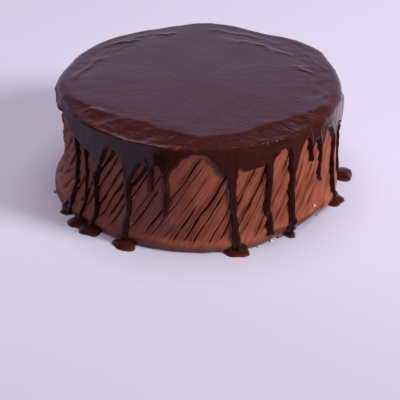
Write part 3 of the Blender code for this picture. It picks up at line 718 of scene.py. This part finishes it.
def puddle_rise(azimuth, y):
    """Thickness of the puddles, the distance inside their edges, and the way back to the edge."""
    best = np.full(azimuth.shape, -10.0 * MM)
    rise = np.zeros(azimuth.shape)
    pull = np.zeros(azimuth.shape + (2,))
    foot = foot_radius(azimuth)
    for centre, radius, along, across, height in puddles:
        sideways = front_to_back(azimuth - centre) * radius
        outwards = foot - y - radius
        turn = np.arctan2(sideways / along, outwards / across)
        lobe = 1.0 + 0.09 * np.sin(3.0 * turn + 50.0 * centre) + 0.05 * np.sin(5.0 * turn + 20.0 * centre)
        away = np.hypot(sideways / along, outwards / across) / lobe
        inside = (1.0 - away) * min(along, across)
        back = np.where(away > 1.0, 1.0 / np.maximum(away, 1.0) - 1.0, 0.0)
        nearest = (inside > best)[..., None]
        pull = np.where(nearest, np.stack((sideways * back / radius, outwards * back), axis=-1), pull)
        best = np.maximum(best, inside)
        rise = join(rise, height * rounded(inside, 0.8 * min(along, across)) ** 1.3, 0.6 * MM)
    return np.where(best > 0.0, rise, 0.0), best, pull


def past_slump(azimuth, radius):
    """How far a place on the top is beyond the line where the shoulder starts to fall."""
    return radius - through(SLUMP_FROM, np.degrees(front_to_back(azimuth))) * MM


def top_relief(azimuth, radius):
    """How far the flat top dips: slow waves and the wrinkles that set near the rim."""
    x, y = radius * np.sin(azimuth), radius * np.cos(azimuth)
    dip = sum(bumps(layer, x, y) for layer in TOP_WAVES)
    creased = sum(share * stretch(azimuth, np.radians(ends), fade) for *ends, share, fade in CREASED)
    creased = creased * above(radius, 72.0, 18.0)
    dip = dip + 0.36 * MM * creased * uneven(radius / (4.4 * MM), azimuth * 5.0 + 40.0, 16.0)
    dip = dip + 0.2 * MM * creased * uneven(radius / (2.6 * MM), azimuth * 12.0 + 40.0, 17.0)
    fallen = past_slump(azimuth, radius)
    fallen = fallen + 3.0 * MM * (uneven(azimuth * 16.0 + 60.0, radius / (9.0 * MM), 63.0) - 0.5)
    turning = np.clip(fallen, 0.0, SLUMP_SOFT)
    dip = dip + SLUMP_SLOPE * (0.5 * turning ** 2 / SLUMP_SOFT + np.maximum(fallen - SLUMP_SOFT, 0.0))
    crumpled = above(fallen, 0.0, 5.0) * stretch(azimuth, (-1.3, 1.2), 0.25)
    dip = dip + crumpled * sum(bumps(layer, x, y) for layer in CRUMPLE)
    crest = np.zeros(azimuth.shape)
    for first, last, near, far, width, height in WRINKLES:
        first, last = math.radians(first), math.radians(last)
        along = front_to_back(azimuth - first) / (last - first)
        middle = (near + (far - near) * np.clip(along, 0.0, 1.0)) * MM
        middle = middle + 1.2 * MM * np.sin(3.0 * along * math.pi)
        fade = soft((along + 0.12) / 0.3) * soft((1.12 - along) / 0.3)
        crest = crest + height * MM * fade * ridge(radius, middle, width * MM)
    return np.maximum(dip + 0.35 * MM - crest, 0.0)


azimuths = np.array([column_azimuths(y) for y in row_y])
inside = np.array([film_edge(azimuth, y) for azimuth, y in zip(azimuths, row_y)])
puddle = [puddle_rise(azimuth, y) for azimuth, y in zip(azimuths, row_y)]
puddle_height, puddle_inside, puddle_pull = [np.array(found) for found in zip(*puddle)]
on_floor = row_y < 0.0


def swing(layer, across, along):
    """A layer of relief that goes as far below zero as above it."""
    return bumps(layer, across, along) - 0.5 * layer[0] * MM


def film_thickness(row, column):
    """Thickness of the glaze on the side and the surface below; below zero where there is none."""
    y, azimuth = row_y[row], azimuths[row, column]
    film, pool = inside[row, column], puddle_inside[row, column]
    across = azimuth * SIDE_RADIUS
    flow = 0.2 + stretch(azimuth, FLOWED, 0.3) * bumps(FLOW_PATCHES, across, y) / MM
    runs = swing(RUNS, across, y) + flow * swing(FLOW_LINES, across, y) + swing(SMALL_LUMPS, across, y)
    runs = runs + swing(DRIP_LUMPS, across, y) * below(y, 62.0, 8.0)
    bead = GLAZE_BEAD * ridge(film, 2.0 * MM, 1.7 * MM)
    bead = bead + swellings(BEADS, azimuth, y)
    thick = (GLAZE_SIDE + bead + runs) * rounded(film, BORDER_ROUND)
    thick = np.where(puddle_height[row, column] > 0.0,
                     join(thick, puddle_height[row, column], 1.0 * MM), thick)
    outside = np.maximum(film, pool)
    return np.where(outside > 0.0, thick, np.maximum(3.2 * outside, -GLAZE_SINK))


def rim_radius(azimuth):
    """Radius of the side of the glaze where the rim starts."""
    waves = 1.0 + np.sin(9.0 * azimuth) + 0.7 * np.sin(17.0 * azimuth + 1.0)
    return side_radius(azimuth, np.full(azimuth.shape, rim_low - 4.0 * MM)) - RIM_UNEVEN * waves


def glaze_place(row, column, lining=False):
    """A surface of the glaze, from the middle of the top to the edge of the puddles.

    The outer one lies on the cake; the lining is sunk in the buttercream and flat underneath.
    """
    azimuth, value, kind = azimuths[row, column], row_values[row], row_parts[row]
    film = -GLAZE_SINK if lining else film_thickness(row, column)
    depth = LINING_DEPTH if lining else 0.0
    top = BUTTERCREAM_TOP - LINING_DEPTH if lining else GLAZE_TOP
    slump = np.max([bell(azimuth, place, RIM_SOFT_HALF_ANGLE) for place in RIM_SOFT_AZIMUTHS], axis=0)
    width = RIM_WIDTH + (0.0 if lining else RIM_SOFT * slump)
    turned = np.where(kind == "rim", value, 0.5 * math.pi)
    inwards = np.where(kind == "top", np.minimum(value / inner_rings[-1], 1.0), 1.0)
    over = (rim_radius(azimuth) + film - width * (1.0 - np.cos(turned))) * inwards
    level = rim_low - depth + (top - rim_low + depth) * np.sin(turned)
    if not lining:
        level = level - top_relief(azimuth, over) * np.sin(turned) ** 2
    height = np.where(kind == "side", value, FILLET)
    side = side_radius(azimuth, height) - scraped(azimuth, height)
    side = side + (rim_radius(azimuth) - side) * (1.0 - soft((rim_low - height) / SETTLE)) + film
    pushed = height - depth * above(height, rim_low / MM - 12.0, 12.0)
    bend = np.where(kind == "fillet", value, 0.0)
    foot = foot_radius(azimuth)
    curve = foot + FILLET * (1.0 - np.cos(bend)) + film * np.cos(bend)
    drop = FILLET * (1.0 - np.sin(bend)) + film * np.sin(bend)
    below_rim = [kind == name for name in ("side", "fillet", "floor")]
    radius = np.select(below_rim, (side, curve, foot + FILLET + value), over)
    z = np.maximum(np.select(below_rim, (pushed, drop, film), level), 0.0)
    stray = on_floor[row] & (puddle_inside[row, column] < 0.0)
    turn, out = np.moveaxis(puddle_pull[row, column] * stray[..., None], -1, 0)
    return round_the_axis(azimuth + turn, radius + out, np.where(stray, 0.0, z))


def thin_and_thick(row, column):
    """How thin the glaze is at its edges, with painted glints in pale specks on the rim, how thick, where
    it ran, and how undimpled.
    """
    azimuth, y, value, kind = azimuths[row, column], row_y[row], row_values[row], row_parts[row]
    edge = np.clip(1.0 - film_thickness(row, column) / (1.6 * MM), 0.0, 1.0)
    on_top = kind == "top"
    slumped = above(past_slump(azimuth, value), 2.0, 6.0)
    # Painted glints: pale orange specks on the front of the rim and the slumped top.
    glint_spots = np.where(on_top, slumped, 1.0 * (kind == "rim")) * bell(azimuth, *GLINT_SPECKS_PLACE)
    glint_specks = bumps(GLINT_SPECKS, azimuth * SIDE_RADIUS, np.where(on_top, value, y)) / MM
    pale = np.where(y < 0.0, edge, GLINT_SPECKS_PALE * glint_spots * soft((glint_specks - 0.76) / 0.2))
    low = below(y, rim_low / MM - 2.0, 12.0)
    # Darker and glossier in one lobe on the front of the side.
    dark = bell(azimuth, *DARK_LOBE) * above(y, 64.0, 6.0) * below(y, 86.0, 5.0)
    runs = below(y, 56.0, 14.0) * (y > 1.0 * MM)
    calm = np.where(on_top, above(value, 90.0, 8.0), 1.0)
    return pale, np.clip(0.15 * low + 0.75 * dark + 0.35 * runs, 0.0, 1.0), calm


# Dark chocolate ganache, poured and set: cocoa butter makes a smooth satin-glossy skin over a
# nearly black red-brown. Where it is thinner than a millimetre it turns orange-brown.
ganache, shader = new_material("dark_chocolate_ganache_poured")
spot = add_node(ganache, "TexCoord").outputs["Object"]
thin_edges_and_glints, thick, calm = [add_node(ganache, "Attribute", {"attribute_name": name}).outputs["Fac"]
                     for name in ("thin_edges_and_glints", "thick", "calm")]
mottle, cells, skin = [
    add_node(ganache, "TexNoise", Scale=1.0 / (size * MM), Detail=detail, Roughness=rough, Vector=spot)
    for size, detail, rough in ((30.0, 5.0, 0.6), (3.5, 2.0, 0.6), (3.0, 3.0, 0.55))]
cells = add_node(ganache, "Math", {"operation": "MULTIPLY_ADD"}, i0=cells, i1=1.6, i2=-0.3)
patches = add_node(ganache, "Mix", {"data_type": "FLOAT"}, i0=0.5, i2=mottle, i3=cells)
dark = add_node(ganache, "Mix", {"data_type": "RGBA"}, i0=patches, i6=linear("#220F0C"),
                i7=linear("#3F1911"))
deep = add_node(ganache, "Mix", {"data_type": "RGBA"}, i0=thick, i6=dark, i7=linear("#1E0D0B"))
# Orange-brown where the glaze is thin at its edges. The pale specks on the rim are painted glints.
edged = add_node(ganache, "Mix", {"data_type": "RGBA"}, i0=thin_edges_and_glints, i6=deep, i7=linear("#6A2E14"))
satin = add_node(ganache, "MapRange", i0=mottle, i1=0.3, i2=0.7, i3=0.14, i4=0.2)
gloss = add_node(ganache, "Mix", {"data_type": "FLOAT"}, i0=thick, i2=satin, i3=0.07)
dimpled = add_node(ganache, "MapRange", i0=calm, i3=0.9, i4=0.55)
bump = add_node(ganache, "Bump", Strength=dimpled, Distance=0.2 * MM, Height=skin)
wire(ganache, shader, Base_Color=edged, Roughness=gloss, Normal=bump, IOR=1.5)

mesh, row, column = woven(len(row_values), len(part), glaze_place)
lining = mesh.verts.layers.float_vector.new("lining")
look_layers = [mesh.verts.layers.float.new(name) for name in ("thin_edges_and_glints", "thick", "calm")]
keep = np.maximum(inside, puddle_inside)[row, column]
inner = glaze_place(row, column, lining=True)
looks = np.stack(thin_and_thick(row, column), axis=-1)
for vert, under, look in zip(mesh.verts, inner.tolist(), looks.tolist()):
    vert[lining] = under
    for layer, value in zip(look_layers, look):
        vert[layer] = value
margin = np.where(on_floor[row], 0.0, 0.35 * MM)
bare = {vert for vert, outside in zip(mesh.verts, (keep < -margin).tolist()) if outside}
uncovered = [face for face in mesh.faces if all(vert in bare for vert in face.verts)]
bmesh.ops.delete(mesh, geom=uncovered, context="FACES")
bmesh.ops.remove_doubles(mesh, verts=mesh.verts, dist=1e-6)
# Where the skin has no thickness in the middle of a patch, it is lifted off its lining by a hair
pinched = [edge for edge in mesh.edges if len(edge.link_faces) == 2
           and all((Vector(vert[lining]) - vert.co).length < 2e-6 for vert in edge.verts)]
for vert in {vert for edge in pinched for vert in edge.verts}:
    vert.co.z += 0.05 * MM
grown = bmesh.ops.extrude_face_region(mesh, geom=mesh.faces, use_keep_orig=True)
under_side = [made for made in grown["geom"] if isinstance(made, bmesh.types.BMVert)]
for vert in under_side:
    vert.co = vert[lining]
flat_under = {vert for vert in under_side if vert.co.xy.length < LINING_FLAT}
buried = [face for face in mesh.faces if any(vert in flat_under for vert in face.verts)]
bmesh.ops.delete(mesh, geom=buried, context="FACES")
bmesh.ops.holes_fill(mesh, edges=[edge for edge in mesh.edges if edge.is_boundary], sides=0)
bmesh.ops.remove_doubles(mesh, verts=mesh.verts, dist=1e-6)
bmesh.ops.recalc_face_normals(mesh, faces=mesh.faces)
glaze = link_mesh("ganache_glaze", mesh, ganache)
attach(glaze, "root")
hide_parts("glaze")


# Crumbs and flecks. Specks that the knife and the turntable picked up: pale biscuit, white sugar
# and red sponge crumbs stuck to the foot or lying beside it, and chips of milk chocolate spread.
CRUMBS = {                       # azimuth in degrees, height or None beside the foot, size (mm)
    "biscuit_crumbs": ("#B98A55", (
        (-79.0, None, 2.4), (-70.5, 19.0, 1.6), (-73.9, 73.5, 1.2), (-27.8, 18.0, 1.6), (58.0, None, 1.2),
    )),
    "white_sugar_crumbs": ("#E6DCD2", (
        (-61.5, None, 1.5), (29.4, None, 1.8), (30.6, None, 1.2), (38.1, None, 1.5), (52.4, 14.7, 1.7),
        (20.5, None, 1.0), (23.0, None, 1.3),
    )),
    "red_sponge_crumbs": ("#A8281C", (
        (33.4, None, 1.7), (34.8, None, 1.4), (36.3, None, 1.3), (53.1, 18.1, 2.0), (50.6, 16.6, 1.0),
        (81.8, 16.9, 1.5),
    )),
    "milk_chocolate_flecks": ("#A8705A", (
        (-9.2, 24.4, 0.9), (-10.7, 26.7, 0.8), (-7.7, 22.1, 0.7), (-4.3, 24.3, 0.6), (2.7, 75.8, 0.8),
        (1.6, 78.2, 0.7), (4.2, 73.3, 0.7), (4.5, 42.0, 0.6), (2.5, 35.0, 0.6), (-8.5, 37.0, 0.7),
        (-10.5, 33.0, 0.8), (-8.6, 32.0, 0.6), (-5.0, 23.0, 0.7), (-6.5, 16.5, 0.6), (3.8, 27.0, 0.6),
        (-1.0, 18.5, 0.6), (-28.3, 19.5, 0.9), (-39.9, 68.0, 0.8), (-36.1, 58.9, 0.8), (-21.5, 65.0, 0.8),
        (33.0, 12.6, 0.9), (35.2, 12.4, 0.8), (41.6, 19.0, 0.8), (42.8, 21.5, 0.8), (24.4, 27.5, 0.7),
    )),
}
CRUMB_SIDES = (0.8, 1.2)       # a crumb's sides vary between these shares of its size
CRUMB_ROUGH = 0.12             # its points stand out or lie in by up to this share
BESIDE_FOOT_HEIGHT = 1.6 * MM


def crumb_spot(azimuth, z, size):
    """Centre of a crumb: half sunk in the side at a height, or resting beside the foot."""
    level = np.abs(heights[1:-4] - (BESIDE_FOOT_HEIGHT if z is None else z * MM)).argmin() + 1
    around = stroke_line(line_start, np.full(line_start.shape, heights[level]))
    nearest = np.abs(front_to_back(around - math.radians(azimuth))).argmin()
    side = buttercream_place(np.array([level + 1]), np.array([nearest]))[0]
    outwards = 1.0 + (0.55 if z is None else 0.2) * size * MM / math.hypot(side[0], side[1])
    return [side[0] * outwards, side[1] * outwards, side[2] if z is not None else 0.4 * size * MM]


def crumb_mesh(spots, draw):
    """Small broken lumps, one at each spot."""
    mesh = bmesh.new()
    for azimuth, z, size in spots:
        turn = Euler([draw.uniform(0.0, math.tau) for _ in range(3)]).to_matrix().to_4x4()
        sides = Matrix.Diagonal([draw.uniform(*CRUMB_SIDES) for _ in range(3)] + [1.0])
        place = Matrix.Translation(crumb_spot(azimuth, z, size))
        made = bmesh.ops.create_icosphere(mesh, subdivisions=2, radius=0.5 * size * MM,
                                          matrix=place @ turn @ sides)
        for vert in made["verts"]:
            shove = draw.uniform(-CRUMB_ROUGH, CRUMB_ROUGH) * size * MM
            vert.co += (vert.co - place.translation).normalized() * shove
            vert.co.z = max(vert.co.z, 0.0)
    bmesh.ops.recalc_face_normals(mesh, faces=mesh.faces)
    return mesh


draw = random.Random(3)
for name, (colour, spots) in CRUMBS.items():
    # Dry broken crumb: matt, with a little lighter and darker grain through it.
    crumb, shader = new_material(name.replace("crumbs", "crumb").replace("flecks", "fleck"))
    grain = add_node(crumb, "TexNoise", Scale=1.0 / (0.8 * MM), Detail=2.0,
                     Vector=add_node(crumb, "TexCoord").outputs["Object"])
    pale, dull = linear(colour), [0.6 * part for part in linear(colour)[:3]] + [1.0]
    wire(crumb, shader, Roughness=0.75,
         Base_Color=add_node(crumb, "Mix", {"data_type": "RGBA"}, i0=grain, i6=dull, i7=pale))
    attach(link_mesh(name, crumb_mesh(spots, draw), crumb), "root")


# Floor, light and camera. The cake stands on a plain pale lavender floor under soft daylight
# from the right, and the camera looks down on it as steeply as the photograph's.
CAMERA_DISTANCE = 780.4 * MM
CAMERA_HEIGHT = 453.0 * MM
CAMERA_TILT = math.radians(31.26)
CAMERA_ASIDE = -0.3 * MM
LENS = 99.0
FLOOR_SIZE = 6.0
FLOOR_PAINTED_SHADE = (0.05, -0.4)     # between these places, in metres from the middle of the cake

# Matt lavender paper, with painted shade making it a little darker towards the front
paper, shader = new_material("matt_lavender_paper")
place = add_node(paper, "SeparateXYZ", Vector=add_node(paper, "TexCoord").outputs["Object"])
front_painted_shade = add_node(paper, "MapRange", {"interpolation_type": "SMOOTHSTEP"},
                         i0=place.outputs["Y"], i1=FLOOR_PAINTED_SHADE[0], i2=FLOOR_PAINTED_SHADE[1])
wire(paper, shader, Roughness=0.9, Base_Color=add_node(
    paper, "Mix", {"data_type": "RGBA"}, i0=front_painted_shade, i6=linear("#B8B3C6"), i7=linear("#A5A2B1")))
mesh = bmesh.new()
bmesh.ops.create_grid(mesh, x_segments=1, y_segments=1, size=0.5 * FLOOR_SIZE)
floor = link_mesh("floor", mesh, paper)
floor.visible_glossy = False

# What the gloss mirrors: a lavender backdrop behind, pale paper low down on the left, a dark room
# in front and overhead. The backdrop's colours by elevation in radians, and the part that it fills
BACKDROP = (
    (-0.5, "#DAD3EE"), (0.0, "#DDD8F4"), (0.26, "#C6C2E8"), (0.43, "#B2AFD9"), (0.52, "#A08FBC"),
    (0.66, "#645A78"), (0.85, "#2E2832"),
)
BACKDROP_FOOT, BACKDROP_TOP = BACKDROP[0][0], BACKDROP[-1][0]
BEHIND = (118.0, 190.0, 11.0)    # degrees from the front to either side, and softness
ZONES = (                        # azimuths from the front to the right, elevations, softness, colour
    (-182.0, -112.0, -70.0, -4.0, 8.0, "#84708C"),
    (-112.0, -41.0, -70.0, -4.0, 2.5, "#A790B4"),
    (-182.0, 182.0, -95.0, -64.0, 6.0, "#8F88A4"),
)
world = bpy.data.worlds.new("studio")
world.use_nodes = True
bpy.context.scene.world = world
direction = add_node(world, "SeparateXYZ", Vector=add_node(world, "TexCoord").outputs["Generated"])
front = add_node(world, "Math", {"operation": "MULTIPLY"}, i0=direction.outputs["Y"], i1=-1.0)
heading = add_node(world, "Math", {"operation": "ARCTAN2"}, i0=direction.outputs["X"], i1=front)
height = add_node(world, "Math", {"operation": "ARCSINE"}, i0=direction.outputs["Z"])


def zone_mask(value, low, high, width):
    """1 where a value in radians lies between two angles in degrees, soft over a width."""
    sides = [add_node(world, "MapRange", {"interpolation_type": "SMOOTHSTEP"}, i0=value,
                      i1=math.radians(edge - width), i2=math.radians(edge + width))
             for edge, width in ((low, width), (high, -width))]
    return add_node(world, "Math", {"operation": "MULTIPLY"}, i0=sides[0], i1=sides[1])


backdrop = add_node(world, "ValToRGB", i0=add_node(world, "MapRange", i0=height, i1=BACKDROP_FOOT,
                                                   i2=BACKDROP_TOP))
stops = backdrop.color_ramp.elements
while len(stops) < len(BACKDROP):
    stops.new(0.5)
for stop, (place, colour) in zip(stops, BACKDROP):
    stop.position = (place - BACKDROP_FOOT) / (BACKDROP_TOP - BACKDROP_FOOT)
    stop.color = linear(colour)
behind = zone_mask(add_node(world, "Math", {"operation": "ABSOLUTE"}, i0=heading), *BEHIND)
sky = add_node(world, "Mix", {"data_type": "RGBA"}, i0=behind, i6=linear("#332A2D"), i7=backdrop)
for left, right, low, high, width, colour in ZONES:
    mask = add_node(world, "Math", {"operation": "MULTIPLY"}, i0=zone_mask(heading, left, right, width),
                    i1=zone_mask(height, low, high, 0.4 * width))
    sky = add_node(world, "Mix", {"data_type": "RGBA"}, i0=mask, i6=sky, i7=linear(colour))
wire(world, world.node_tree.nodes["Background"], Color=sky)

# Soft round lamps that face the cake: place in metres, size, power, colour, mirrored in gloss or not
LAMPS = {
    "window": ((3.12, -1.4, 1.8), 1.2, 220.0, (0.97, 0.98, 1.0), False),
    "ceiling": ((0.0, 0.0, 3.4), 3.6, 119.0, (1.0, 0.965, 0.955), False),
    "sparkle": ((1.28, -0.8, 0.87), 0.1, 3.6, (1.0, 0.98, 0.96), True),
}
for name, (place, size, power, colour, mirrored) in LAMPS.items():
    light = bpy.data.lights.new(name, "AREA")
    light.shape, light.size, light.energy, light.color = "DISK", size, power, colour
    lamp = bpy.data.objects.new(name, light)
    bpy.context.scene.collection.objects.link(lamp)
    lamp.location = place
    lamp.rotation_euler = (-lamp.location).to_track_quat("-Z", "Y").to_euler()
    lamp.visible_glossy = mirrored

camera_data = bpy.data.cameras.new("camera")
camera_data.lens = LENS
camera = bpy.data.objects.new("camera", camera_data)
bpy.context.scene.collection.objects.link(camera)
camera.location = (CAMERA_ASIDE, -CAMERA_DISTANCE, CAMERA_HEIGHT)
camera.rotation_euler = (math.radians(90.0) - CAMERA_TILT, 0.0, 0.0)
bpy.context.scene.camera = camera
bpy.context.scene.view_settings.view_transform = "Standard"
